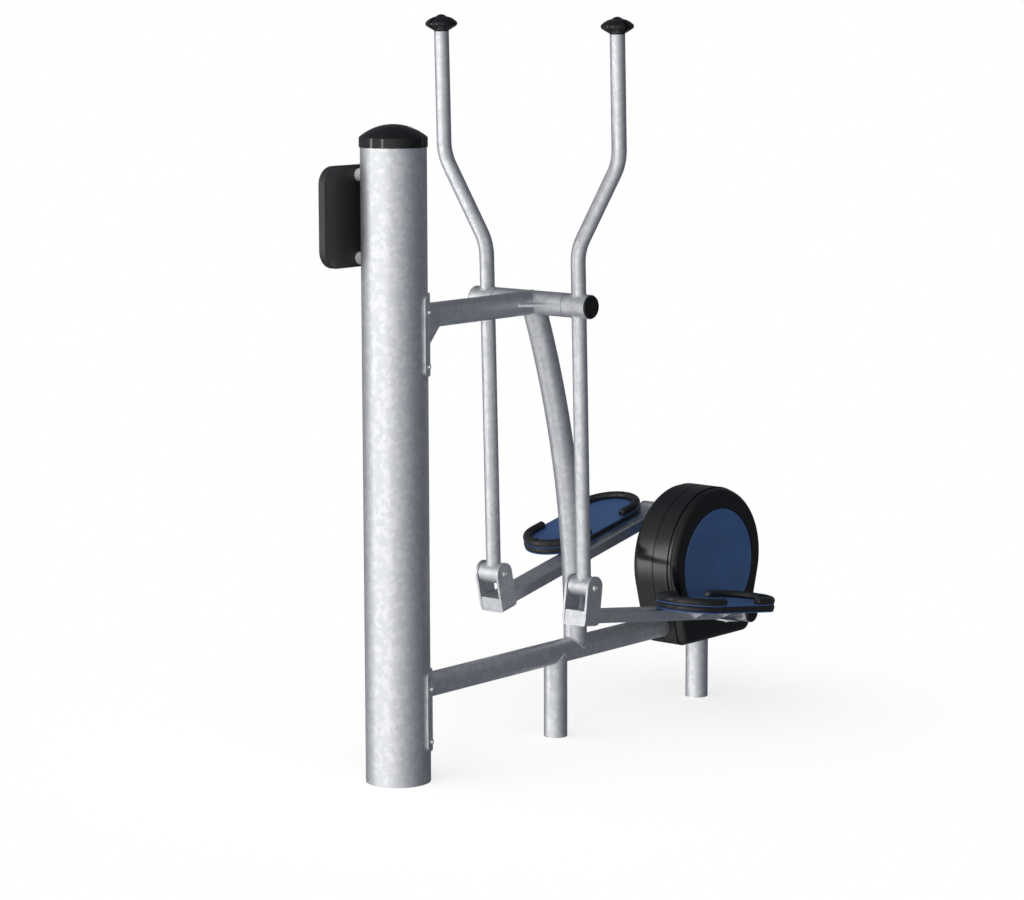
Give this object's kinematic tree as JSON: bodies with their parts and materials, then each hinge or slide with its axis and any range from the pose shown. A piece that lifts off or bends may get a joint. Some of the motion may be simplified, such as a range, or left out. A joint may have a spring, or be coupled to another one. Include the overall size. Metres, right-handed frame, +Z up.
{
  "type": "outdoor air walker",
  "caption": "Outdoor cross trainer: galvanised post and side frame, two swinging levers with knobs, foot boards on pedal arms, and a crank in a black housing.",
  "frame": {"origin": "the main post's axis at ground level", "axes": "+Z up; +Y from the post to the crank; +X is the left side of a person who stands on the boards and faces the post"},
  "size_m": [0.5182, 1.2302, 1.4718],
  "materials": {
    "galvanised": "hot-dip galvanised, light grey with a spangle of pale grains",
    "machined_steel": "plain machined steel",
    "stainless": "bright stainless steel",
    "black_plastic": "satin black plastic",
    "black_rubber": "matt black rubber",
    "blue_plastic": "matt blue laminate",
    "white_plastic": "white plastic"
  },
  "bodies": {
    "frame": {"main_post": "galvanised", "post_cap": "black_plastic", "post_saddles": "galvanised", "saddle_bolts": "stainless", "upper_tube": "galvanised", "gusset_plates": "galvanised", "axle_tube": "galvanised", "down_tube": "galvanised", "lower_tube": "galvanised", "front_leg": "galvanised", "rear_leg": "galvanised", "pivot_shaft": "machined_steel", "shaft_collars": "machined_steel", "info_board": "black_plastic", "board_spacers": "white_plastic", "board_screws": "stainless", "housing_left_shell": "black_plastic", "housing_right_shell": "black_plastic", "housing_screws": "stainless", "crank_bearing_tube": "galvanised", "crank_bearings": "machined_steel"},
    "crank": {"crank_shaft": "machined_steel", "crank_plates": "galvanised", "crank_discs": "blue_plastic"},
    "left_lever": {"left_handle": "galvanised", "left_hub_sleeve": "galvanised", "left_hub_bearings": "machined_steel", "left_hub_cap": "black_plastic", "left_lower_lever": "galvanised", "left_pivot_bushes": "black_plastic", "left_knob": "black_plastic"},
    "left_pedal": {"left_pedal_arm": "galvanised", "left_fork": "galvanised", "left_pivot_bolt": "stainless", "left_outriggers": "galvanised", "left_board_core": "black_rubber", "left_board_skins": "blue_plastic", "left_foot_rims": "black_rubber", "left_foot_screws": "stainless", "left_pin_bearings": "machined_steel", "left_pin_spindle": "machined_steel", "left_pin_cap": "black_plastic"},
    "right_lever": {"right_handle": "galvanised", "right_hub_sleeve": "galvanised", "right_hub_bearings": "machined_steel", "right_hub_cap": "black_plastic", "right_lower_lever": "galvanised", "right_pivot_bushes": "black_plastic", "right_knob": "black_plastic"},
    "right_pedal": {"right_pedal_arm": "galvanised", "right_fork": "galvanised", "right_pivot_bolt": "stainless", "right_outriggers": "galvanised", "right_board_core": "black_rubber", "right_board_skins": "blue_plastic", "right_foot_rims": "black_rubber", "right_foot_screws": "stainless", "right_pin_bearings": "machined_steel", "right_pin_spindle": "machined_steel", "right_pin_cap": "black_plastic"}
  },
  "joints": [
    {"name": "left_lever_swing", "type": "hinge", "parent": "frame", "child": "left_lever", "pos_m": [0, 0.4105, 0.902], "axis": [1, 0, 0], "range_deg": [-9.5, 9.5]},
    {"name": "right_lever_swing", "type": "hinge", "parent": "frame", "child": "right_lever", "pos_m": [0, 0.4105, 0.902], "axis": [1, 0, 0], "range_deg": [-9.5, 9.5]},
    {"name": "left_pedal_pivot", "type": "hinge", "parent": "left_lever", "child": "left_pedal", "pos_m": [0, 0.42584, 0.33521], "axis": [1, 0, 0], "range_deg": [-9.5, 9.5]},
    {"name": "right_pedal_pivot", "type": "hinge", "parent": "right_lever", "child": "right_pedal", "pos_m": [0, 0.42584, 0.33521], "axis": [1, 0, 0], "range_deg": [-9.5, 9.5]},
    {"name": "crank_turn", "type": "hinge", "parent": "frame", "child": "crank", "pos_m": [0, 0.962, 0.297], "axis": [1, 0, 0], "range_deg": [-90, 90]}
  ],
  "couplings": [
    {"joint": "right_lever_swing", "follows": "left_lever_swing", "ratio": -1},
    {"joint": "left_pedal_pivot", "follows": "left_lever_swing", "ratio": -1},
    {"joint": "right_pedal_pivot", "follows": "left_lever_swing", "ratio": 1},
    {"joint": "crank_turn", "follows": "left_lever_swing", "ratio": 9.4736}
  ]
}
